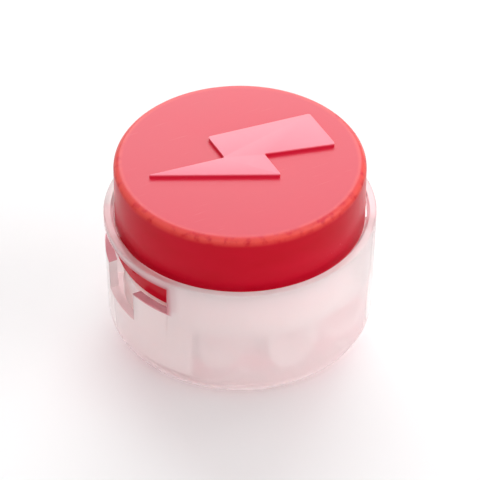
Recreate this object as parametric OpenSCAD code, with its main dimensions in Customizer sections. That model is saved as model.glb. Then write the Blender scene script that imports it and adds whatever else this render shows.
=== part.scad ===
// Push-button wire splice. Insulated wires go into three blind ports in a clear housing, and
// pressing the cap drives a slotted contact down through their insulation.
//
// The origin is on the cap's axis, at the underside of the housing. The wires enter along +Y from
// the port face on the -Y side, and the cap travels along -Z. It is drawn open, as supplied.

/* [Housing] */
// Outside diameter of the housing at its rim
rim_d = 14; // [13.8:0.1:17.4]
// How much smaller the outside radius is at the foot than at the rim
draft = 0.15; // [0.05:0.05:0.4]
// Wall thickness at the rim, beside the cap
rim_wall = 0.5; // [0.4:0.02:0.6]
// Wall thickness below the ledge that stops the cap
lower_wall = 0.75; // [0.6:0.05:1.2]
// Thickness of the floor
floor_t = 0.9; // [0.5:0.05:1.2]
// Radius of the rounded edge round the foot
foot_round = 1.2; // [0.3:0.1:1.4]
// Chamfer on the inner edge of the rim
rim_chamfer = 0.14; // [0.05:0.01:0.2]

/* [Wire ports] */
// Number of wire ports
port_count = 3; // [2:1:3]
// Bore of a wire port
port_d = 2.2; // [1.8:0.1:2.7]
// Distance from one port to the next
port_pitch = 2.9; // [2.8:0.1:3.2]
// Material over a port
port_cover = 0.5; // [0.3:0.05:0.8]
// Material between a port and the inside of the floor
port_sole = 0.2; // [0.1:0.05:0.4]
// Material beside the outermost ports
port_side = 0.6; // [0.4:0.05:0.7]
// How far the port face stands out from the round wall
port_face_out = 0.1; // [0.1:0.05:1]
// Rounding of the port block's upright corners
port_corner = 0.6; // [0.2:0.1:1]
// Width of the lead-in chamfer round a port
port_lead_in = 0.25; // [0.1:0.05:0.3]
// Material between the end of a wire and the round wall
wire_stop_t = 0.8; // [0.5:0.1:1.2]

/* [Press cap] */
// Running clearance between the cap and the housing, on the radius
cap_gap = 0.08; // [0.03:0.01:0.1]
// Thickness of the cap's top
cap_top_t = 1.1; // [0.8:0.1:1.6]
// Thickness of the cap's skirt and legs
skirt_t = 0.75; // [0.5:0.05:0.8]
// How far the skirt reaches below the rim before the cap is pressed
skirt_dip = 0.35; // [0.2:0.05:1]
// How far the legs reach below the rim before the cap is pressed
leg_dip = 1.95; // [1.8:0.05:2.4]
// Angle that each leg takes up
leg_angle = 60; // [40:1:64]
// How far the top stands above the rim when the cap is pressed home
cap_proud = 0.5; // [0.2:0.1:2]
// Chamfer round the cap's top edge
cap_chamfer = 0.38; // [0.1:0.02:0.5]
// Thickness of the walls that hold the contact
holder_t = 0.6; // [0.4:0.1:0.8]
// Distance from the underside of the cap's top to the end of those walls
holder_h = 2.8; // [1.6:0.1:3]
// Thickness of the webs between those walls and the skirt
web_t = 0.6; // [0.4:0.1:0.8]
// Height of the webs
web_h = 1.1; // [0.5:0.1:1.6]
// Distance of each web from the middle
web_x = 2.6; // [1.5:0.1:3.2]

/* [Emblem] */
// Length of the raised bolt on the cap
emblem_l = 9.6; // [5:0.1:10]
// Width of the raised bolt
emblem_w = 5; // [2:0.1:5.5]
// Height of the raised bolt
emblem_h = 0.2; // [0.1:0.05:0.4]

/* [Latch] */
// Width of the hook on each leg
hook_w = 2.4; // [1.6:0.1:3]
// Height of the hook
hook_h = 0.7; // [0.5:0.05:0.9]
// How far the hook stands out from the leg
hook_out = 0.3; // [0.2:0.02:0.36]
// Gap between the hook and the strip that stops it
hook_gap = 0.05; // [0.02:0.01:0.1]
// Gap beside the hook in its slot
hook_side_gap = 0.2; // [0.1:0.05:0.3]
// Height of the strip of rim over each window
strip_h = 0.45; // [0.3:0.05:0.6]
// Gap between a leg and the edges of its window and pocket, in degrees
window_spare = 1.5; // [1:0.1:3]

/* [Contact] */
// Thickness of the contact's sheet metal
contact_t = 0.4; // [0.3:0.05:0.5]
// Clear distance between the two slotted plates
plate_gap = 2; // [1.6:0.1:2.4]
// Width of a slot, which bites the copper
slot_w = 0.35; // [0.25:0.05:0.6]
// Length of a slot above its flared mouth
slot_l = 2; // [1.6:0.1:2.4]
// Width of a slot's flared mouth
slot_mouth = 1.3; // [1:0.1:1.6]
// Height of a slot's flared mouth
mouth_h = 0.6; // [0.4:0.1:0.8]
// Width of the gap between two neighbouring forks
relief_w = 0.3; // [0.2:0.05:0.4]
// Length of the gap between two neighbouring forks
relief_l = 1.7; // [1:0.1:2.2]
// Metal beside the outermost slots
contact_side = 1.6; // [1.4:0.1:1.7]
// Inside radius of the contact's bends
bend_r = 0.15; // [0.1:0.05:0.3]
// Gap between the contact's tips and the floor when the cap is pressed home
tip_floor_gap = 0.25; // [0.1:0.05:0.4]
// Gap between a wire in its port and the contact's tips before pressing
tip_wire_gap = 0.45; // [0.2:0.05:1]

/* [Sealant] */
// Gap that keeps the soft sealant clear of its neighbours
gel_gap = 0.05; // [0.03:0.01:0.1]

/* [Hidden] */
$fn = 96;
over = 0.5; // how far a cut runs past the surface that it opens

// small distances that nothing bears on
stop_gap = 0.05; // between the cap and the ledge that stops it
blade_play = 0.15; // round a plate of the contact in its slot
holder_play = 0.3; // between the contact's holder and the port block
ledge_rise = 0.3; // from the top of the port block up to the ledge
sill_drop = 0.15; // from the end of a leg down to the sill of its window
leg_play = 0.25; // under a leg when the cap is pressed home
hook_play = 0.1; // under a hook when the cap is pressed home
pocket_step = 0.02; // how far the wall of a leg's pocket stands in from the bore above it
leg_clear = 0.1; // between the port block and the legs
fork_tip = 0.25; // width of the flat at the tip of a fork

// ports and bed
port_r = port_d / 2;
port_z = floor_t + port_sole + port_r;
port_span = port_pitch * (port_count - 1) / 2;
port_x = [for (i = [0 : port_count - 1]) i * port_pitch - port_span];
block_top = port_z + port_r + port_cover;
holder_out = plate_gap / 2 + contact_t + holder_t;
tunnel_in = holder_out + holder_play;

// how far the cap travels, and the heights that follow from it
travel = port_sole + port_d + tip_wire_gap - tip_floor_gap;
ledge_z = block_top + ledge_rise;
housing_h = ledge_z + stop_gap + travel + skirt_dip;
cap_top = housing_h + travel + cap_proud;
cap_under = cap_top - cap_top_t;
skirt_z = housing_h - skirt_dip;
leg_z = housing_h - leg_dip;
holder_z = cap_under - holder_h;

// radii and angles
rim_r = rim_d / 2;
foot_r = rim_r - draft;
cap_bore_r = rim_r - rim_wall;
cap_r = cap_bore_r - cap_gap;
skirt_in_r = cap_r - skirt_t;
lower_r = foot_r - lower_wall;
window_angle = leg_angle + 2 * window_spare;
port_face = rim_r + port_face_out;
// the port block is as wide as its ports need, but its sides stay clear of the legs
block_hw = min(port_span + port_r + port_side, (skirt_in_r - leg_clear) * cos(leg_angle / 2));

// latch
window_top = housing_h - strip_h;
window_sill = leg_z - sill_drop;
pocket_z = leg_z - travel - leg_play;
hook_top = window_top - hook_gap;
slot_end = hook_top - hook_h - travel - hook_play;

// contact
contact_hw = port_span + contact_side;
contact_out = plate_gap / 2 + contact_t;
tip_z = floor_t + tip_floor_gap + travel;

// sealant
gel_top = min(holder_z, skirt_z) - gel_gap;

// the bolt's outline, in halves of its length and width
bolt = [[-1, -0.62], [-1, 0.5], [-0.25, 0.13], [-0.25, 0.88], [1, -0.31], [0.15, -0.12], [0.15, -0.88]];

// A ring sector centred on +X, from radius r1 to r2, z1 to z2, angle degrees wide
module sector(r1, r2, z1, z2, angle) {
    rotate([0, 0, -angle / 2])
        rotate_extrude(angle = angle)
            translate([r1, z1])
                square([r2 - r1, z2 - z1]);
}

// The same feature on the +X and the -X side
module both_sides() {
    children();
    rotate([0, 0, 180]) children();
}

// A box centred on the Y axis' plane, from y1 to y2 and z1 to z2, 2 * hw wide
module slab(hw, y1, y2, z1, z2) {
    translate([-hw, y1, z1])
        cube([2 * hw, y2 - y1, z2 - z1]);
}

// Where the wire in the port at x stops: the outer wires stop earlier, because the wall is round
function wire_stop(x) = sqrt(pow(lower_r, 2) - pow(abs(x) + port_r, 2)) - wire_stop_t;

// A rod of radius r along each port's axis, from y1 to the place where its wire stops
module along_ports(r, y1) {
    for (x = port_x)
        translate([x, y1, port_z])
            rotate([-90, 0, 0])
                cylinder(r = r, h = wire_stop(x) - y1);
}

// ---------------------------------------------------------------- housing

module tub_outside() {
    rotate_extrude() {
        square([foot_r - foot_round, foot_round]);
        polygon([[0, foot_round], [foot_r, foot_round], [rim_r, housing_h], [0, housing_h]]);
        intersection() {
            translate([foot_r - foot_round, foot_round]) circle(r = foot_round);
            square([foot_r, 2 * foot_round]);
        }
    }
}

// Outline of the port block seen from above
module block_plan() {
    depth = port_face - tunnel_in;
    translate([-block_hw, -port_face + port_corner]) square([2 * block_hw, depth - port_corner]);
    translate([-block_hw + port_corner, -port_face]) square([2 * (block_hw - port_corner), depth]);
    for (side = [-1, 1])
        translate([side * (block_hw - port_corner), -port_face + port_corner])
            circle(r = port_corner);
}

// Outline of the port block seen along Y
module block_front() {
    edge = port_corner;
    translate([-block_hw, edge]) square([2 * block_hw, block_top - edge]);
    translate([-block_hw + edge, 0]) square([2 * (block_hw - edge), block_top]);
    for (side = [-1, 1])
        translate([side * (block_hw - edge), edge]) circle(r = edge);
}

module port_block() {
    intersection() {
        linear_extrude(block_top) block_plan();
        translate([0, -tunnel_in + over, 0])
            rotate([90, 0, 0])
                linear_extrude(port_face) block_front();
    }
}

module cavity() {
    translate([0, 0, floor_t]) cylinder(r = lower_r, h = housing_h);
    translate([0, 0, ledge_z]) cylinder(r = cap_bore_r, h = housing_h);
    both_sides()
        sector(lower_r - over, cap_bore_r - pocket_step, pocket_z, housing_h, window_angle);
    translate([0, 0, housing_h - rim_chamfer])
        cylinder(r1 = cap_bore_r, r2 = cap_bore_r + rim_chamfer + over, h = rim_chamfer + over);
}

// What stands on the floor inside the cavity, with a margin g: the bed, and a stop for each wire
module wire_bed(g) {
    slab(block_hw + g, -tunnel_in - over, lower_r + over, 0, port_z + g);
    for (x = port_x)
        translate([x, 0, 0])
            slab(port_r + port_side + g, wire_stop(x) - g, lower_r + over, 0, block_top + g);
}

module blade_slots() {
    for (side = [-1, 1])
        translate([0, side * (plate_gap + contact_t) / 2, 0])
            slab(contact_hw + blade_play, -contact_t / 2 - blade_play, contact_t / 2 + blade_play,
                floor_t, block_top + over);
}

module port_lead_ins() {
    for (x = port_x)
        translate([x, -port_face - over, port_z])
            rotate([-90, 0, 0])
                cylinder(r1 = port_r + port_lead_in + over, r2 = port_r, h = port_lead_in + over);
}

module latch_windows() {
    both_sides() {
        sector(cap_bore_r - over, rim_r + over, window_sill, window_top, window_angle);
        translate([cap_bore_r - over, -hook_w / 2 - hook_side_gap, slot_end])
            cube([rim_wall + 2 * over, hook_w + 2 * hook_side_gap, window_sill - slot_end + over]);
    }
}

module housing() {
    color([0.93, 0.89, 0.89, 0.5])
        difference() {
            union() {
                tub_outside();
                port_block();
            }
            difference() {
                cavity();
                wire_bed(0);
                port_block();
            }
            along_ports(port_r, -port_face - over);
            port_lead_ins();
            blade_slots();
            latch_windows();
        }
}

// -------------------------------------------------------------- press cap

// The cap's top and skirt, which reaches down as a leg on each side
module cap_shell() {
    difference() {
        rotate_extrude()
            polygon([
                [0, cap_under], [skirt_in_r, cap_under], [skirt_in_r, leg_z], [cap_r, leg_z],
                [cap_r, cap_top - cap_chamfer], [cap_r - cap_chamfer, cap_top], [0, cap_top]
            ]);
        rotate([0, 0, 90])
            both_sides()
                sector(skirt_in_r - over, cap_r + over, leg_z - over, skirt_z, 180 - leg_angle);
    }
}

// The hook on a leg: flat on top, sloped below so that it snaps in past the strip
module hook() {
    root = skirt_t / 2;
    translate([cap_r - root, hook_w / 2, 0])
        rotate([90, 0, 0])
            linear_extrude(hook_w)
                polygon([
                    [0, hook_top - hook_h], [root, hook_top - hook_h],
                    [root + hook_out, hook_top - hook_h / 2], [root + hook_out, hook_top], [0, hook_top]
                ]);
}

// Walls round the contact, open below
module contact_holder() {
    end_x = contact_hw + holder_t;
    difference() {
        slab(end_x, -holder_out, holder_out, holder_z, cap_under);
        slab(contact_hw, -contact_out, contact_out, holder_z - over, cap_under + over);
    }
}

module webs() {
    for (x = [-web_x, web_x])
        difference() {
            translate([x - web_t / 2, -cap_r + skirt_t / 2, cap_under - web_h])
                cube([web_t, 2 * cap_r - skirt_t, web_h]);
            slab(cap_r, -contact_out, contact_out, 0, cap_under);
            difference() {
                translate([0, 0, cap_under - web_h - over]) cylinder(r = 2 * cap_r, h = web_h + 2 * over);
                cylinder(r = cap_r - skirt_t / 2, h = cap_top);
            }
        }
}

// A lightning bolt lying along X
module emblem() {
    translate([0, 0, cap_top - cap_chamfer])
        linear_extrude(cap_chamfer + emblem_h)
            polygon([for (p = bolt) [p.x * emblem_l / 2, p.y * emblem_w / 2]]);
}

module press_cap() {
    color([0.84, 0.07, 0.15])
        union() {
            cap_shell();
            both_sides() hook();
            contact_holder();
            webs();
            emblem();
        }
}

// ---------------------------------------------------------------- contact

// Section through the two plates and their bridge, seen along X
module contact_section() {
    bend_out = bend_r + contact_t;
    difference() {
        union() {
            translate([-contact_out, 0]) square([2 * contact_out, cap_under - bend_out]);
            translate([-contact_out + bend_out, 0]) square([2 * (contact_out - bend_out), cap_under]);
            for (side = [-1, 1])
                translate([side * (contact_out - bend_out), cap_under - bend_out]) circle(r = bend_out);
        }
        translate([-plate_gap / 2, -over]) square([plate_gap, cap_under - bend_out + over]);
        translate([-plate_gap / 2 + bend_r, -over])
            square([plate_gap - 2 * bend_r, cap_under - contact_t + over]);
        for (side = [-1, 1])
            translate([side * (plate_gap / 2 - bend_r), cap_under - bend_out]) circle(r = bend_r);
    }
}

// Outline of a plate seen along Y: a comb of forks, one over each port
module contact_outline() {
    difference() {
        translate([-contact_hw, tip_z]) square([2 * contact_hw, cap_under - tip_z]);
        for (x = port_x)
            translate([x, tip_z]) {
                polygon([
                    [-slot_mouth / 2, -over], [slot_mouth / 2, -over], [slot_mouth / 2, 0],
                    [slot_w / 2, mouth_h], [-slot_w / 2, mouth_h], [-slot_mouth / 2, 0]
                ]);
                translate([-slot_w / 2, 0]) square([slot_w, mouth_h + slot_l - slot_w / 2]);
                translate([0, mouth_h + slot_l - slot_w / 2]) circle(r = slot_w / 2);
            }
        for (i = [0 : port_count])
            translate([(i - 0.5) * port_pitch - port_span, tip_z]) {
                flare = port_pitch / 2 - slot_mouth / 2 - fork_tip;
                outer = i == 0 || i == port_count;
                polygon([[-flare, -over], [flare, -over], [flare, 0], [0, mouth_h], [-flare, 0]]);
                if (!outer) {
                    translate([-relief_w / 2, 0]) square([relief_w, relief_l]);
                    translate([0, relief_l]) circle(r = relief_w / 2);
                }
            }
    }
}

module contact_element() {
    color([0.79, 0.78, 0.74])
        intersection() {
            translate([-contact_hw, 0, 0])
                rotate([90, 0, 90])
                    linear_extrude(2 * contact_hw) contact_section();
            translate([0, contact_out, 0])
                rotate([90, 0, 0])
                    linear_extrude(2 * contact_out) contact_outline();
        }
}

// ---------------------------------------------------------------- sealant

module sealant_gel() {
    g = gel_gap;
    color([0.95, 0.86, 0.87, 0.6])
        difference() {
            union() {
                translate([0, 0, floor_t + g]) cylinder(r = lower_r - g, h = gel_top - floor_t - g);
                translate([0, 0, ledge_z + g]) cylinder(r = cap_bore_r - g, h = gel_top - ledge_z - g);
            }
            wire_bed(g);
            slab(block_hw + g, -port_face, -tunnel_in + g, 0, block_top + g);
            // a free way for each wire
            along_ports(port_r + g, -tunnel_in - over);
            // room for the contact's plates
            for (side = [-1, 1])
                translate([0, side * (plate_gap + contact_t) / 2, 0])
                    slab(contact_hw + g, -contact_t / 2 - g, contact_t / 2 + g, tip_z - g, gel_top + over);
            // room for the cap's legs
            both_sides()
                sector(skirt_in_r - g, rim_r, leg_z - g, gel_top + over, window_angle);
        }
}

housing();
press_cap();
contact_element();
sealant_gel();
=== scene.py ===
"""A push-button wire splice: a red press cap in a clear, gel-filled housing, with a slotted contact."""

import math

import bmesh
import bpy
from mathutils import Matrix, Vector


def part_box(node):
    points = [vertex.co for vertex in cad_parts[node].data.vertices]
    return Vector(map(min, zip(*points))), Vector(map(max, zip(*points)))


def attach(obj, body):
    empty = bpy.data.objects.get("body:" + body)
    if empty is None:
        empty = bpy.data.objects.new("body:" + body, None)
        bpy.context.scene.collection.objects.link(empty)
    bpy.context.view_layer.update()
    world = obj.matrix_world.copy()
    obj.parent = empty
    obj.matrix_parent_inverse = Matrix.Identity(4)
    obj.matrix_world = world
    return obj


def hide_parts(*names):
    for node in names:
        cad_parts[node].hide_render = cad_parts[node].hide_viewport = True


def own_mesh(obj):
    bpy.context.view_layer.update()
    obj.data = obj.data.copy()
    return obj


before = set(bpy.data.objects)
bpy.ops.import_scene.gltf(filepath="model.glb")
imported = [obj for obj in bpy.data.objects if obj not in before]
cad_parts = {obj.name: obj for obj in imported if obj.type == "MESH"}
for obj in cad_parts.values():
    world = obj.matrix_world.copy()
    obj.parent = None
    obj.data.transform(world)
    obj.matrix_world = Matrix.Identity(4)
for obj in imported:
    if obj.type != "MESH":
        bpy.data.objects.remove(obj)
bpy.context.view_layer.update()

# ------------------------------------------------------------------ sizes
# Shapes are worked out in millimetres, and each finished mesh is turned into metres.

MM = 0.001
housing_low, housing_high = (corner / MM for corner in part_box("housing"))
cap_low, cap_high = (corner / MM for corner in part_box("press_cap"))
gel_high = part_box("sealant_gel")[1] / MM

# Faces round a full turn, how far a tool reaches past what it cuts, and how near is "at" an edge
TURN_STEPS = 240
OVER = 0.5
NEAR = 0.1

# Housing: a drafted tub with a ledge inside, and pockets for the cap's legs
RIM_R = housing_high.x
RIM_Z = housing_high.z
RIM_ROUND = 0.1
RIM_CHAMFER = 0.14
DRAFT = 0.15
FOOT_R = RIM_R - DRAFT
FOOT_ROUND = 1.2
FLOOR_Z = 0.9
LOWER_R = 6.1
BORE_R = 6.5
LEDGE_Z = 4.1
POCKET_Z = 2.3
POCKET_TOP = RIM_Z - 0.3
POCKET_STEP = 0.02

# Wire ports, the block that they are in, the bed behind it and the slots for the blades
PORT_R = 1.1
PORT_Z = 2.2
PORT_PITCH = 2.9
PORT_LEAD_IN = 0.25
PORT_XS = (-PORT_PITCH, 0, PORT_PITCH)
PORT_FACE = -housing_low.y
TUNNEL_IN = 2.3
BLOCK_HALF = 4.6
BLOCK_TOP = 3.8
BLOCK_CORNER = 0.6
BLOCK_ROUND = 0.12
BED_SIDE = 0.6
WIRE_STOP_T = 0.8
BLADE_Y = 1.2
BLADE_SLOT = 0.35
BLADE_HALF = 4.65

# Latch windows, each with a slot below it for the hook
WINDOW_ANGLE = 63
WINDOW_SILL = 5.0
WINDOW_TOP = 6.65
WINDOW_IN = BORE_R - 0.4
HOOK_SLOT_HALF = 1.4
HOOK_SLOT_END = 3.2
HOOK_SLOT_TOP = WINDOW_SILL + 0.2

# Press cap: a top, a skirt and two legs
CAP_R = cap_high.y
EMBLEM_TOP = cap_high.z
EMBLEM_H = 0.2
CAP_TOP = EMBLEM_TOP - EMBLEM_H
CAP_UNDER = CAP_TOP - 1.1
CAP_ROUND = 0.38
SKIRT_T = 0.75
SKIRT_Z = 6.75
SKIRT_ROUND = 0.1
LEG_Z = cap_low.z
LEG_ANGLE = 60

# The hook on each leg, the walls that hold the contact, and the webs beside them
HOOK_HALF_W = 1.2
HOOK_H = 0.7
HOOK_OUT = 0.3
HOOK_TOP = 6.6
HOOK_ROUND = 0.07
HOLDER_HALF_X = 5.1
HOLDER_HALF_Y = 2.0
HOLDER_T = 0.6
HOLDER_Z = 6.3
HOLDER_ROUND = 0.12
WEB_X = 2.6
WEB_HALF_T = 0.3
WEB_H = 1.1
WEB_END = 5.3

# The raised bolt, with its outline in halves of its length and width
EMBLEM_L = 9.6
EMBLEM_W = 5
EMBLEM_CORNER = 0.12
EMBLEM_ROUND = 0.07
BOLT = ((-1, -0.62), (-1, 0.5), (-0.25, 0.13), (-0.25, 0.88), (1, -0.31), (0.15, -0.12), (0.15, -0.88))

# The contact that the cap carries
CONTACT_HALF = 4.5
CONTACT_T = 0.4

# Gel: its gap to everything else, and how far it climbs the wall
GEL_TOP = gel_high.z
GEL_GAP = 0.06
GEL_CLIMB = 0.45
GEL_ROUND = 0.3


# ------------------------------------------------------------------ mesh tools

def outwards(bm):
    """Merges the doubles of a closed shape and turns its faces outwards."""
    bmesh.ops.remove_doubles(bm, verts=bm.verts, dist=1e-4)
    bmesh.ops.recalc_face_normals(bm, faces=bm.faces)
    return bm


def turned(outline, steps=TURN_STEPS):
    """A solid of revolution: outline runs from the axis out and back to it, as radius and height."""
    bm = bmesh.new()
    points = [bm.verts.new((r, 0, z)) for r, z in outline]
    lines = [bm.edges.new(pair) for pair in zip(points, points[1:])]
    bmesh.ops.spin(bm, geom=points + lines, cent=(0, 0, 0), axis=(0, 0, 1), dvec=(0, 0, 0),
                   angle=math.tau, steps=steps, use_merge=True)
    return outwards(bm)


def ring_sector(r1, r2, z1, z2, angle, middle=0):
    """Part of a ring, angle degrees wide about the direction middle."""
    bm = bmesh.new()
    start = math.radians(middle - angle / 2)
    corners = [bm.verts.new((r * math.cos(start), r * math.sin(start), z))
               for r, z in ((r1, z1), (r2, z1), (r2, z2), (r1, z2))]
    face = bm.faces.new(corners)
    bmesh.ops.spin(bm, geom=[face], cent=(0, 0, 0), axis=(0, 0, 1), dvec=(0, 0, 0),
                   angle=math.radians(angle), steps=round(TURN_STEPS * angle / 360))
    return outwards(bm)


def block(x1, x2, y1, y2, z1, z2):
    bm = bmesh.new()
    place = Matrix.Translation(((x1 + x2) / 2, (y1 + y2) / 2, (z1 + z2) / 2))
    bmesh.ops.create_cube(bm, size=1, matrix=place @ Matrix.Diagonal((x2 - x1, y2 - y1, z2 - z1, 1)))
    return bm


def rod(r1, r2, x, y1, y2, z, sides=64):
    """A round bar or cone along Y."""
    bm = bmesh.new()
    place = Matrix.Translation((x, (y1 + y2) / 2, z)) @ Matrix.Rotation(math.radians(-90), 4, "X")
    bmesh.ops.create_cone(bm, cap_ends=True, segments=sides, radius1=r1, radius2=r2, depth=y2 - y1,
                          matrix=place)
    return bm


def raised(points, z1, z2):
    """A flat outline lifted from z1 to z2."""
    bm = bmesh.new()
    face = bm.faces.new([bm.verts.new((x, y, z1)) for x, y in points])
    lifted = bmesh.ops.extrude_face_region(bm, geom=[face], use_keep_orig=True)["geom"]
    bmesh.ops.translate(bm, verts=[v for v in lifted if isinstance(v, bmesh.types.BMVert)],
                        vec=(0, 0, z2 - z1))
    return outwards(bm)


def round_edges(bm, chosen, width, segments=3):
    """Rounds the sharp edges whose middle passes the test chosen."""
    sharp = math.radians(25)
    edges = [e for e in bm.edges if e.is_manifold and e.calc_face_angle(0) > sharp
             and chosen((e.verts[0].co + e.verts[1].co) / 2)]
    bmesh.ops.bevel(bm, geom=edges, offset=width, offset_type="OFFSET", segments=segments,
                    profile=0.5, affect="EDGES", clamp_overlap=True, material=-1)
    return bm


def as_object(bm, name):
    mesh = bpy.data.meshes.new(name)
    bm.to_mesh(mesh)
    bm.free()
    made = bpy.data.objects.new(name, mesh)
    bpy.context.scene.collection.objects.link(made)
    return made


def combined(bm, tools, operation):
    """Cuts the tools from a shape, or joins them to it."""
    for tool in tools:
        base, other = as_object(bm, "base"), as_object(tool, "tool")
        change = base.modifiers.new("change", "BOOLEAN")
        change.operation, change.solver, change.object = operation, "EXACT", other
        made = base.evaluated_get(bpy.context.evaluated_depsgraph_get())
        result = bpy.data.meshes.new_from_object(made)
        for used in (base, other):
            mesh = used.data
            bpy.data.objects.remove(used)
            bpy.data.meshes.remove(mesh)
        bm = bmesh.new()
        bm.from_mesh(result)
        bpy.data.meshes.remove(result)
        bmesh.ops.remove_doubles(bm, verts=bm.verts, dist=1e-4)
    return bm


def piece(bm, name, material, body, stands_for, smooth_angle=32):
    """The finished object: in metres, smooth but for its sharp edges, riding on its body."""
    bmesh.ops.scale(bm, vec=(MM, MM, MM), verts=bm.verts)
    for face in bm.faces:
        face.smooth = True
    for edge in bm.edges:
        edge.smooth = not edge.is_manifold or edge.calc_face_angle(0) < math.radians(smooth_angle)
    made = as_object(bm, name)
    made.data.materials.append(material)
    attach(made, body)
    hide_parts(stands_for)
    return made


# ------------------------------------------------------------------ housing

def wire_stop(x):
    """Where the wire in the port at x stops: its stop is cut off by the round wall."""
    return math.sqrt(LOWER_R ** 2 - (abs(x) + PORT_R) ** 2) - WIRE_STOP_T


def port_block():
    bm = block(-BLOCK_HALF, BLOCK_HALF, -PORT_FACE, -TUNNEL_IN, 0, BLOCK_TOP)
    round_edges(bm, lambda m: abs(m.x) > BLOCK_HALF - NEAR and (m.y < -PORT_FACE + NEAR or m.z < NEAR),
                BLOCK_CORNER, 6)
    return round_edges(bm, lambda m: m.y < -PORT_FACE + BLOCK_CORNER + NEAR, BLOCK_ROUND)


def hollow():
    """The space inside the housing, less the bed and the block."""
    above = RIM_Z + OVER
    bm = turned([(0, FLOOR_Z), (LOWER_R, FLOOR_Z), (LOWER_R, LEDGE_Z), (BORE_R, LEDGE_Z),
                 (BORE_R, RIM_Z - RIM_CHAMFER), (BORE_R + RIM_CHAMFER + OVER, above), (0, above)])
    pockets = [ring_sector(LOWER_R - OVER, BORE_R - POCKET_STEP, POCKET_Z, POCKET_TOP, WINDOW_ANGLE, side)
               for side in (0, 180)]
    bm = combined(bm, pockets, "UNION")
    kept = [block(-BLOCK_HALF, BLOCK_HALF, -TUNNEL_IN - OVER, LOWER_R + 2 * OVER, 0, PORT_Z),
            block(-BLOCK_HALF, BLOCK_HALF, -PORT_FACE, -TUNNEL_IN, 0, BLOCK_TOP)]
    for x in PORT_XS:
        half = PORT_R + BED_SIDE
        kept.append(block(x - half, x + half, wire_stop(x), LOWER_R + 2 * OVER, 0, BLOCK_TOP))
    return combined(bm, kept, "DIFFERENCE")


def housing_shape():
    tub = turned([(0, 0), (FOOT_R, 0), (RIM_R, RIM_Z), (0, RIM_Z)])
    round_edges(tub, lambda m: m.z < NEAR, FOOT_ROUND, 10)
    round_edges(tub, lambda m: m.z > RIM_Z - NEAR, RIM_ROUND)
    cuts = [hollow()]
    for x in PORT_XS:
        start = -PORT_FACE - OVER
        cuts.append(rod(PORT_R, PORT_R, x, start, wire_stop(x), PORT_Z))
        cuts.append(rod(PORT_R + PORT_LEAD_IN + OVER, PORT_R, x, start, -PORT_FACE + PORT_LEAD_IN, PORT_Z))
    for y in (-BLADE_Y, BLADE_Y):
        cuts.append(block(-BLADE_HALF, BLADE_HALF, y - BLADE_SLOT, y + BLADE_SLOT, FLOOR_Z, BLOCK_TOP + OVER))
    for side in (0, 180):
        cuts.append(ring_sector(WINDOW_IN, RIM_R + OVER, WINDOW_SILL, WINDOW_TOP, WINDOW_ANGLE, side))
    for side in (-1, 1):
        inner, outer = sorted((side * WINDOW_IN, side * (RIM_R + OVER)))
        cuts.append(block(inner, outer, -HOOK_SLOT_HALF, HOOK_SLOT_HALF, HOOK_SLOT_END, HOOK_SLOT_TOP))
    return combined(combined(tub, [port_block()], "UNION"), cuts, "DIFFERENCE")


# ------------------------------------------------------------------ press cap

def cap_shell():
    """The top, the skirt and the two legs that the skirt runs down into."""
    inner = CAP_R - SKIRT_T
    bm = turned([(0, CAP_UNDER), (inner, CAP_UNDER), (inner, LEG_Z),
                 (CAP_R, LEG_Z), (CAP_R, CAP_TOP), (0, CAP_TOP)])
    between = [ring_sector(inner - OVER, CAP_R + OVER, LEG_Z - OVER, SKIRT_Z, 180 - LEG_ANGLE, side)
               for side in (90, 270)]
    bm = combined(bm, between, "DIFFERENCE")
    round_edges(bm, lambda m: m.z > CAP_TOP - NEAR, CAP_ROUND, 7)
    return round_edges(bm, lambda m: m.z < SKIRT_Z + NEAR, SKIRT_ROUND, 2)


def hook(turn):
    """The latch hook of one leg, turned about the cap's axis."""
    root = SKIRT_T / 2
    bm = raised([(0, HOOK_TOP - HOOK_H), (root, HOOK_TOP - HOOK_H), (root + HOOK_OUT, HOOK_TOP - HOOK_H / 2),
                 (root + HOOK_OUT, HOOK_TOP), (0, HOOK_TOP)], -HOOK_HALF_W, HOOK_HALF_W)
    round_edges(bm, lambda m: m.x > root + HOOK_OUT / 6, HOOK_ROUND, 2)
    upright = Matrix.Rotation(math.radians(90), 4, "X")
    out = Matrix.Translation((CAP_R - root, 0, 0))
    bmesh.ops.transform(bm, verts=bm.verts, matrix=Matrix.Rotation(turn, 4, "Z") @ out @ upright)
    return bm


def contact_holder():
    """Four walls round the contact, open below."""
    x, y = HOLDER_HALF_X, HOLDER_HALF_Y
    bm = block(-x, x, -y, y, HOLDER_Z, CAP_UNDER + HOLDER_T / 2)
    round_edges(bm, lambda m: m.z < HOLDER_Z + NEAR or abs(m.x) > x - NEAR and abs(m.y) > y - NEAR,
                HOLDER_ROUND, 2)
    inside = block(HOLDER_T - x, x - HOLDER_T, HOLDER_T - y, y - HOLDER_T, HOLDER_Z - 2 * OVER, CAP_UNDER)
    return combined(bm, [inside], "DIFFERENCE")


def webs():
    """Thin walls between the holder and the skirt, two on each side."""
    root = 0.2
    made = []
    for x in (-WEB_X, WEB_X):
        for side in (-1, 1):
            near, far = sorted((side * (HOLDER_HALF_Y - root), side * WEB_END))
            made.append(block(x - WEB_HALF_T, x + WEB_HALF_T, near, far, CAP_UNDER - WEB_H, CAP_UNDER + root))
    return made


def emblem():
    outline = [(x * EMBLEM_L / 2, y * EMBLEM_W / 2) for x, y in BOLT]
    bm = raised(outline, CAP_TOP - EMBLEM_H, EMBLEM_TOP)
    round_edges(bm, lambda m: CAP_TOP - NEAR < m.z < EMBLEM_TOP - NEAR, EMBLEM_CORNER)
    return round_edges(bm, lambda m: m.z > EMBLEM_TOP - NEAR, EMBLEM_ROUND)


def cap_shape():
    return combined(cap_shell(), [hook(0), hook(math.pi), contact_holder(), *webs(), emblem()], "UNION")


# ------------------------------------------------------------------ sealant gel

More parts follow.
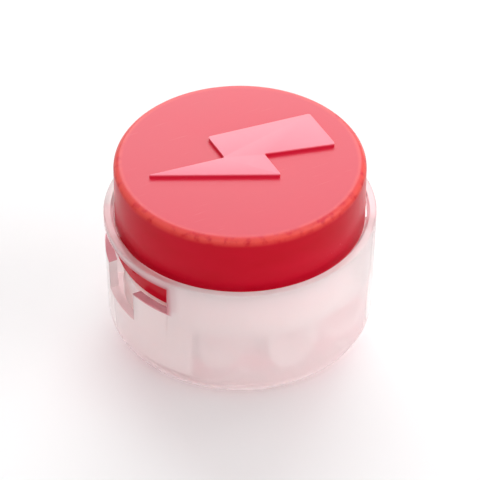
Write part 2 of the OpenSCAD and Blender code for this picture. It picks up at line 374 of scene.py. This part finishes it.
def gel_shape():
    """The gel fills the housing round the bed, leaves room for the legs and blades, and climbs the wall."""
    g = GEL_GAP
    outline = [(0, FLOOR_Z + g), (LOWER_R - g, FLOOR_Z + g),
               (LOWER_R - g, LEDGE_Z + g), (BORE_R - g, LEDGE_Z + g)]
    for reach in (0, 0.25, 0.5, 0.75, 1):
        outline.append((BORE_R - g - GEL_CLIMB * reach, GEL_TOP + GEL_CLIMB * (1 - reach) ** 2))
    bm = turned(outline + [(0, GEL_TOP)])
    round_edges(bm, lambda m: m.z < FLOOR_Z + g + NEAR and m.xy.length > LOWER_R - g - NEAR, GEL_ROUND, 4)

    half, far = BLOCK_HALF + g, LOWER_R + 2 * OVER
    cuts = [block(-half, half, -TUNNEL_IN - OVER, far, 0, PORT_Z + g),
            block(-half, half, -PORT_FACE, -TUNNEL_IN + g, 0, BLOCK_TOP + g)]
    for x in PORT_XS:
        half = PORT_R + BED_SIDE + g
        cuts.append(block(x - half, x + half, wire_stop(x) - g, far, 0, BLOCK_TOP + g))
        cuts.append(rod(PORT_R + g, PORT_R + g, x, -TUNNEL_IN - OVER, wire_stop(x) + NEAR, PORT_Z))
    half_x, half_y, above = CONTACT_HALF + g, CONTACT_T / 2 + g, GEL_TOP + 2 * OVER
    for y in (-BLADE_Y, BLADE_Y):
        cuts.append(block(-half_x, half_x, y - half_y, y + half_y, PORT_Z, above))
    for side in (0, 180):
        cuts.append(ring_sector(CAP_R - SKIRT_T - g, RIM_R, LEDGE_Z + g, above, WINDOW_ANGLE, side))
    return combined(bm, cuts, "DIFFERENCE")


# ------------------------------------------------------------------ finishes

def node(tree, kind, inputs=None, **settings):
    """A node with its settings, and its inputs as plain values or links."""
    made = tree.nodes.new(kind)
    for name, value in settings.items():
        setattr(made, name, value)
    for socket, value in (inputs or {}).items():
        if isinstance(value, bpy.types.NodeSocket):
            tree.links.new(value, made.inputs[socket])
        else:
            made.inputs[socket].default_value = value
    return made


def maths(tree, operation, first, second=0.5):
    return node(tree, "ShaderNodeMath", {0: first, 1: second}, operation=operation).outputs[0]


def mixed(tree, share, first, second):
    """Colour first turning into colour second as share goes from 0 to 1."""
    return node(tree, "ShaderNodeMix", {"Factor": share, 6: first, 7: second}, data_type="RGBA").outputs[2]


def step(tree, value, low, high):
    """Goes smoothly from 0 to 1 as value goes from low to high, where low may be the larger."""
    return node(tree, "ShaderNodeMapRange", {"Value": value, "From Min": low, "From Max": high},
                interpolation_type="SMOOTHSTEP").outputs["Result"]


def share(tree, mask, amount):
    return maths(tree, "MULTIPLY", mask, amount)


def noise(tree, place, scale, detail=2.0, roughness=0.5):
    return node(tree, "ShaderNodeTexNoise", {"Vector": place, "Scale": scale, "Detail": detail,
                                             "Roughness": roughness}).outputs["Fac"]


def stretched(tree, place, scale, turn=0.0):
    """A place turned about Z, then scaled along each axis, for noise that runs in one direction."""
    settings = {"Vector": place, "Rotation": (0, 0, turn), "Scale": scale}
    return node(tree, "ShaderNodeMapping", settings).outputs[0]


def object_place(tree):
    return node(tree, "ShaderNodeTexCoord").outputs["Object"]


def split(tree, place):
    return node(tree, "ShaderNodeSeparateXYZ", {"Vector": place}).outputs


def effect(name, takes, gives):
    """A shader node group with named inputs and their values, and named outputs."""
    group = bpy.data.node_groups.new(name, "ShaderNodeTree")
    for socket, value in takes.items():
        made = group.interface.new_socket(socket, in_out="INPUT", socket_type="NodeSocketFloat")
        made.default_value = value
    for socket in gives:
        group.interface.new_socket(socket, in_out="OUTPUT", socket_type="NodeSocketFloat")
    return group, group.nodes.new("NodeGroupInput").outputs, group.nodes.new("NodeGroupOutput").inputs


def placed(tree, group, **values):
    made = node(tree, "ShaderNodeGroup", node_tree=group)
    for socket, value in values.items():
        made.inputs[socket.replace("_", " ")].default_value = value
    return made.outputs


def mould_grain():
    """The fine texture and the faint flow marks that a mould leaves."""
    values = {"Grain Scale": 9000, "Grain": 0.5, "Flow": 0.4, "Roughness": 0.25, "Roughness Spread": 0.1}
    group, takes, gives = effect("mould grain", values, ["Height", "Roughness", "Flow Mask"])
    place = object_place(group)
    fine = noise(group, place, takes["Grain Scale"], 3.0, 0.6)
    flow = noise(group, stretched(group, place, (1, 1, 2.5)), 260, 3.0, 0.55)
    height = maths(group, "ADD", maths(group, "MULTIPLY", fine, takes["Grain"]),
                   maths(group, "MULTIPLY", flow, takes["Flow"]))
    slow = maths(group, "MULTIPLY", maths(group, "SUBTRACT", flow, 0.5), takes["Roughness Spread"])
    half_spread = maths(group, "MULTIPLY", takes["Roughness Spread"], 0.5)
    quick = maths(group, "MULTIPLY", maths(group, "SUBTRACT", fine, 0.5), half_spread)
    rough = maths(group, "ADD", takes["Roughness"], maths(group, "ADD", slow, quick))
    group.links.new(height, gives["Height"])
    group.links.new(rough, gives["Roughness"])
    group.links.new(flow, gives["Flow Mask"])
    return group


def handling_marks():
    """Short faint scuffs, lying in two directions."""
    group, takes, gives = effect("handling marks", {"Amount": 0.5, "Scale": 500}, ["Mask"])
    place = object_place(group)
    marks = []
    for turn in (0.5, -0.9):
        along = stretched(group, place, (1, 14, 4), turn)
        marks.append(step(group, noise(group, along, takes["Scale"], 2.0), 0.68, 0.78))
    mask = maths(group, "MULTIPLY", maths(group, "MAXIMUM", *marks), takes["Amount"])
    group.links.new(mask, gives["Mask"])
    return group


def edge_wear_and_highlight():
    """A ring along an edge, at a radius and a height, with a broken outline: real wear where it roughens the
    clear housing, a painted highlight where it lightens the cap's top edge.
    """
    values = {"Radius": 0.006, "Height": 0.01, "Width": 0.0003}
    group, takes, gives = effect("edge wear and highlight", values, ["Mask"])
    place = object_place(group)
    axes = split(group, place)
    flat = node(group, "ShaderNodeCombineXYZ", {"X": axes["X"], "Y": axes["Y"]}).outputs[0]
    radius = node(group, "ShaderNodeVectorMath", {0: flat}, operation="LENGTH").outputs["Value"]
    out = maths(group, "SUBTRACT", radius, takes["Radius"])
    up = maths(group, "SUBTRACT", axes["Z"], takes["Height"])
    offset = node(group, "ShaderNodeCombineXYZ", {"X": out, "Y": up}).outputs[0]
    away = node(group, "ShaderNodeVectorMath", {0: offset}, operation="LENGTH").outputs["Value"]
    near = step(group, away, takes["Width"], 0.0)
    broken = step(group, noise(group, place, 2200, 3.0), 0.2, 0.55)
    group.links.new(maths(group, "MULTIPLY", near, broken), gives["Mask"])
    return group


GRAIN, MARKS, EDGE = mould_grain(), handling_marks(), edge_wear_and_highlight()


# Colours, in linear light
DEEP_RED, FULL_RED = (0.46, 0.001, 0.008, 1), (0.60, 0.002, 0.024, 1)
# Painted sheen: the cap's top land painted lighter where its gloss catches the light
TOP_SHEEN_RED = (0.80, 0.02, 0.07, 1)
# Painted highlight along the cap's rounded top edge
EDGE_HIGHLIGHT_RED = (0.95, 0.12, 0.09, 1)
# Painted sheen: the raised bolt painted lighter where it catches the light
EMBLEM_SHEEN_PINK = (0.92, 0.22, 0.30, 1)
SCUFF_PINK = (0.9, 0.3, 0.3, 1)
CLEAR_DARK, CLEAR_PALE = (1.0, 0.92, 0.92, 1), (1, 0.95, 0.945, 1)
# Painted reflection: red from the legs, put on the windows' cut faces
LEG_REFLECTION_RED = (0.72, 0.2, 0.26, 1)
# The gel's pink cast all over is painted red light from the cap; its darker and paler patches vary at random
GEL_DARK, GEL_PALE, GEL_WISP = (0.98, 0.79, 0.77, 1), (1.0, 0.88, 0.86, 1), (1.0, 0.86, 0.84, 1)
# Painted red light: the gel pinker near the cap, where the cap's red would shine in
GEL_CAP_LIGHT_PINK = (0.96, 0.55, 0.62, 1)
BUBBLE_WHITE = (1, 0.98, 0.98, 1)
TIN_DARK, TIN_PALE = (0.70, 0.69, 0.66, 1), (0.86, 0.85, 0.82, 1)
CUT_BRASS = (0.80, 0.62, 0.33, 1)
TABLE_DARK, TABLE_PALE = (0.93, 0.93, 0.935, 1), (0.95, 0.95, 0.95, 1)

# The colour that each finish gives to light that shines through one of its surfaces
RED_TINT, CLEAR_TINT, GEL_TINT = (0.6, 0.2, 0.28, 1), (0.99, 0.96, 0.965, 1), (0.84, 0.48, 0.55, 1)


def finish(name, **values):
    """A material, with its tree, its shader, the place of a point on the part, and that point's height."""
    made = bpy.data.materials.new(name)
    made.use_nodes = True
    tree = made.node_tree
    shader = tree.nodes["Principled BSDF"]
    for socket, value in values.items():
        shader.inputs[socket.replace("_", " ")].default_value = value
    place = object_place(tree)
    return made, tree, shader, place, split(tree, place)["Z"]


def bumped(tree, shader, height, depth, strength=1.0):
    bump = node(tree, "ShaderNodeBump", {"Height": height, "Strength": strength, "Distance": depth})
    tree.links.new(bump.outputs["Normal"], shader.inputs["Normal"])


def lets_light_through(tree, shader, tint):
    """Lamps shine through this finish, tinted, as they do through the real plastic and gel."""
    output = tree.nodes["Material Output"]
    through = node(tree, "ShaderNodeBsdfTransparent", {"Color": tint})
    shadow = node(tree, "ShaderNodeLightPath").outputs["Is Shadow Ray"]
    both = node(tree, "ShaderNodeMixShader", {0: shadow, 1: shader.outputs[0], 2: through.outputs[0]})
    tree.links.new(both.outputs[0], output.inputs["Surface"])


def red_finish():
    """Moulded red plastic: a polished top land painted lighter as painted sheen, a painted highlight along
    the top edge, a bolt painted lighter as painted sheen, and scuffs on the top.
    """
    made, tree, shader, place, height = finish(
        "red_plastic", Subsurface_Weight=0.12, Subsurface_Radius=(1.0, 0.08, 0.1), Subsurface_Scale=0.8 * MM,
        Specular_IOR_Level=0.1, Coat_Roughness=0.32, Coat_IOR=1.5)
    grain = placed(tree, GRAIN, Grain_Scale=11000, Grain=0.5, Flow=0.5, Roughness=0.24, Roughness_Spread=0.12)
    # The ring along the cap's rounded top edge, which carries its painted highlight
    top_edge = placed(tree, EDGE, Radius=(CAP_R - 0.14) * MM, Height=(CAP_TOP - 0.1) * MM,
                      Width=0.42 * MM)["Mask"]
    on_top = step(tree, height, (CAP_TOP - 0.22) * MM, (CAP_TOP - 0.02) * MM)
    on_emblem = step(tree, height, (CAP_TOP + 0.1) * MM, (CAP_TOP + 0.17) * MM)
    marks = maths(tree, "MULTIPLY", placed(tree, MARKS, Amount=0.6, Scale=520)["Mask"], on_top)

    colour = mixed(tree, grain["Flow Mask"], DEEP_RED, FULL_RED)
    # Painted sheen on the top land and the bolt, a painted highlight along the rounded top edge, and real
    # scuffs
    for mask, amount, tone in ((on_top, 0.6, TOP_SHEEN_RED), (top_edge, 0.7, EDGE_HIGHLIGHT_RED),
                               (on_emblem, 0.85, EMBLEM_SHEEN_PINK), (marks, 0.12, SCUFF_PINK)):
        colour = mixed(tree, share(tree, mask, amount), colour, tone)
    rough = grain["Roughness"]
    for mask, amount in ((on_top, 0.2), (on_emblem, -0.1), (marks, 0.15)):
        rough = maths(tree, "ADD", rough, share(tree, mask, amount))
    tree.links.new(colour, shader.inputs["Base Color"])
    tree.links.new(rough, shader.inputs["Roughness"])
    tree.links.new(share(tree, on_top, 0.75), shader.inputs["Coat Weight"])
    bumped(tree, shader, maths(tree, "ADD", grain["Height"], share(tree, marks, -0.4)), 0.006 * MM, 0.8)
    lets_light_through(tree, shader, RED_TINT)
    return made


def leg_window(tree, place, height):
    """A mask of the windows' cut faces, where the red legs stand close behind, for a painted red reflection
    of the legs.
    """
    axes = split(tree, place)
    above_sill = step(tree, height, (WINDOW_SILL - 0.08) * MM, (WINDOW_SILL - 0.03) * MM)
    below_rim = step(tree, height, (WINDOW_TOP + 0.3) * MM, WINDOW_TOP * MM)
    at_side = step(tree, maths(tree, "ABSOLUTE", axes["X"]), 5.2 * MM, 5.6 * MM)
    in_width = step(tree, maths(tree, "ABSOLUTE", axes["Y"]), 3.9 * MM, 3.6 * MM)
    level = maths(tree, "MULTIPLY", above_sill, below_rim)
    return maths(tree, "MULTIPLY", level, maths(tree, "MULTIPLY", at_side, in_width))


def clear_finish():
    """Clear plastic, a little milky, worn at its rim and foot, with a painted red reflection of the legs
    round the windows.
    """
    made, tree, shader, place, height = finish("clear_plastic", Transmission_Weight=0.62, IOR=1.49)
    grain = placed(tree, GRAIN, Grain_Scale=7000, Grain=0.25, Flow=0.8, Roughness=0.11, Roughness_Spread=0.1)
    marks = placed(tree, MARKS, Amount=0.5, Scale=420)["Mask"]
    rim = placed(tree, EDGE, Radius=RIM_R * MM, Height=RIM_Z * MM, Width=0.25 * MM)["Mask"]
    foot = placed(tree, EDGE, Radius=(FOOT_R - 0.35) * MM, Height=0.35 * MM, Width=0.5 * MM)["Mask"]
    worn = maths(tree, "MAXIMUM", marks, maths(tree, "MAXIMUM", rim, foot))

    colour = mixed(tree, grain["Flow Mask"], CLEAR_DARK, CLEAR_PALE)
    # Painted reflection of the red legs on the windows' cut faces
    colour = mixed(tree, share(tree, leg_window(tree, place, height), 0.85), colour, LEG_REFLECTION_RED)
    rough = maths(tree, "ADD", grain["Roughness"], share(tree, worn, 0.12))
    tree.links.new(colour, shader.inputs["Base Color"])
    tree.links.new(rough, shader.inputs["Roughness"])
    bumped(tree, shader, maths(tree, "ADD", grain["Height"], share(tree, marks, -0.3)), 0.008 * MM, 0.6)
    lets_light_through(tree, shader, CLEAR_TINT)
    return made


def gel_finish():
    """Cloudy gel with wisps and small bubbles, with a pink cast all over and pinker near the cap, both
    painted red light from the cap.
    """
    made, tree, shader, place, height = finish(
        "cloudy_gel", Subsurface_Weight=1.0, Subsurface_Radius=(1.0, 0.75, 0.72), Subsurface_Scale=2 * MM)
    cloud = noise(tree, place, 420, 4.0, 0.6)
    wisps = noise(tree, stretched(tree, place, (1, 1, 2)), 1300, 3.0)
    cells = node(tree, "ShaderNodeTexVoronoi", {"Vector": place, "Scale": 900.0, "Randomness": 1.0})
    bubbles = step(tree, cells.outputs["Distance"], 0.17, 0.1)
    near_cap = step(tree, height, (LEDGE_Z - 0.5) * MM, (GEL_TOP + GEL_CLIMB) * MM)

    # Random cloudy patches, in a pink cast that is painted red light from the cap
    colour = mixed(tree, step(tree, cloud, 0.35, 0.65), GEL_DARK, GEL_PALE)
    # Real wisps and bubbles, and painted red light from the cap on the gel's upper part
    for mask, amount, tone in ((wisps, 0.3, GEL_WISP), (near_cap, 0.6, GEL_CAP_LIGHT_PINK),
                               (bubbles, 0.35, BUBBLE_WHITE)):
        colour = mixed(tree, share(tree, mask, amount), colour, tone)
    tree.links.new(colour, shader.inputs["Base Color"])
    tree.links.new(maths(tree, "ADD", share(tree, wisps, 0.2), 0.12), shader.inputs["Roughness"])
    bumped(tree, shader, maths(tree, "ADD", cloud, bubbles), 0.04 * MM, 0.6)
    lets_light_through(tree, shader, GEL_TINT)
    return made


def tin_finish():
    """Brushed tin on the faces of the sheet, and bare brass where it was cut."""
    made, tree, shader, place, height = finish("tin_plated_brass", Metallic=1.0)
    brushed = noise(tree, stretched(tree, place, (1, 1, 22)), 700, 4.0, 0.6)
    facing = split(tree, node(tree, "ShaderNodeTexCoord").outputs["Normal"])["Y"]
    bridge = step(tree, height, (CAP_UNDER - 0.6) * MM, (CAP_UNDER - 0.5) * MM)
    sheet = maths(tree, "MAXIMUM", maths(tree, "ABSOLUTE", facing), bridge)
    colour = mixed(tree, step(tree, sheet, 0.8, 0.6), mixed(tree, brushed, TIN_DARK, TIN_PALE), CUT_BRASS)
    tree.links.new(colour, shader.inputs["Base Color"])
    tree.links.new(maths(tree, "ADD", share(tree, brushed, 0.25), 0.18), shader.inputs["Roughness"])
    bumped(tree, shader, brushed, 0.004 * MM, 0.7)
    return made


def floor_finish():
    made, tree, shader, place, height = finish("white_table", Roughness=0.7)
    colour = mixed(tree, noise(tree, place, 60, 2.0), TABLE_DARK, TABLE_PALE)
    tree.links.new(colour, shader.inputs["Base Color"])
    return made


# ------------------------------------------------------------------ the pieces

piece(housing_shape(), "clear_housing", clear_finish(), "housing_body", "housing")
piece(cap_shape(), "red_press_cap", red_finish(), "cap_body", "press_cap")
gel = piece(gel_shape(), "gel_filling", gel_finish(), "housing_body", "sealant_gel")
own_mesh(gel)
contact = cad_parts["contact_element"]
contact.data.materials.clear()
contact.data.materials.append(tin_finish())


# ------------------------------------------------------------------ floor, light and camera

FLOOR_HALF = 0.8
FLOOR_DROP = 0.02 * MM
SKY_BRIGHTNESS = 0.5
VIEW_AZIMUTH, VIEW_ELEVATION = 153, 40
VIEW_DISTANCE = 0.172
VIEW_CENTRE = Vector((0, 0, 4.9 * MM))
VIEW_LENS = 250

# Each lamp's turn from the camera's side and elevation, in degrees, its distance and size, in metres,
# and the brightness of its face
LAMPS = {"back_softbox": (180, 38, 0.30, 0.26, 3.1),
         "key_softbox": (150, 70, 0.35, 0.14, 2.6),
         "right_softbox": (78, 28, 0.35, 0.32, 1.8),
         "front_softbox": (-15, 20, 0.35, 0.34, 0.95)}

scene = bpy.context.scene
scene.view_settings.view_transform = "Standard"

floor_mesh = bmesh.new()
bmesh.ops.create_grid(floor_mesh, x_segments=1, y_segments=1, size=FLOOR_HALF,
                      matrix=Matrix.Translation((0, 0, -FLOOR_DROP)))
floor = as_object(floor_mesh, "floor")
floor.data.materials.append(floor_finish())

world = bpy.data.worlds.new("studio")
scene.world = world
world.use_nodes = True
sky = world.node_tree.nodes["Background"].inputs
sky["Color"].default_value = (1, 1, 1, 1)
sky["Strength"].default_value = SKY_BRIGHTNESS


def direction(azimuth, elevation):
    a, e = math.radians(azimuth), math.radians(elevation)
    return Vector((math.sin(a) * math.cos(e), -math.cos(a) * math.cos(e), math.sin(e)))


def aimed(name, data, centre, way, distance):
    """A lamp or a camera at a distance from a centre, facing it."""
    made = bpy.data.objects.new(name, data)
    scene.collection.objects.link(made)
    made.location = centre + way * distance
    made.rotation_mode = "QUATERNION"
    made.rotation_quaternion = way.to_track_quat("Z", "Y")
    return made


def softbox(name, turn, elevation, distance, size, brightness):
    """A round lamp whose face has the given brightness."""
    data = bpy.data.lights.new(name, "AREA")
    data.shape, data.size = "DISK", size
    data.energy = brightness * math.pi * math.pi * (size / 2) ** 2
    aimed(name, data, Vector((0, 0, 0)), direction(VIEW_AZIMUTH + turn, elevation), distance)


for name, settings in LAMPS.items():
    softbox(name, *settings)

lens = bpy.data.cameras.new("camera")
lens.lens = VIEW_LENS
lens.clip_start = 0.01
scene.camera = aimed("camera", lens, VIEW_CENTRE, direction(VIEW_AZIMUTH, VIEW_ELEVATION), VIEW_DISTANCE)
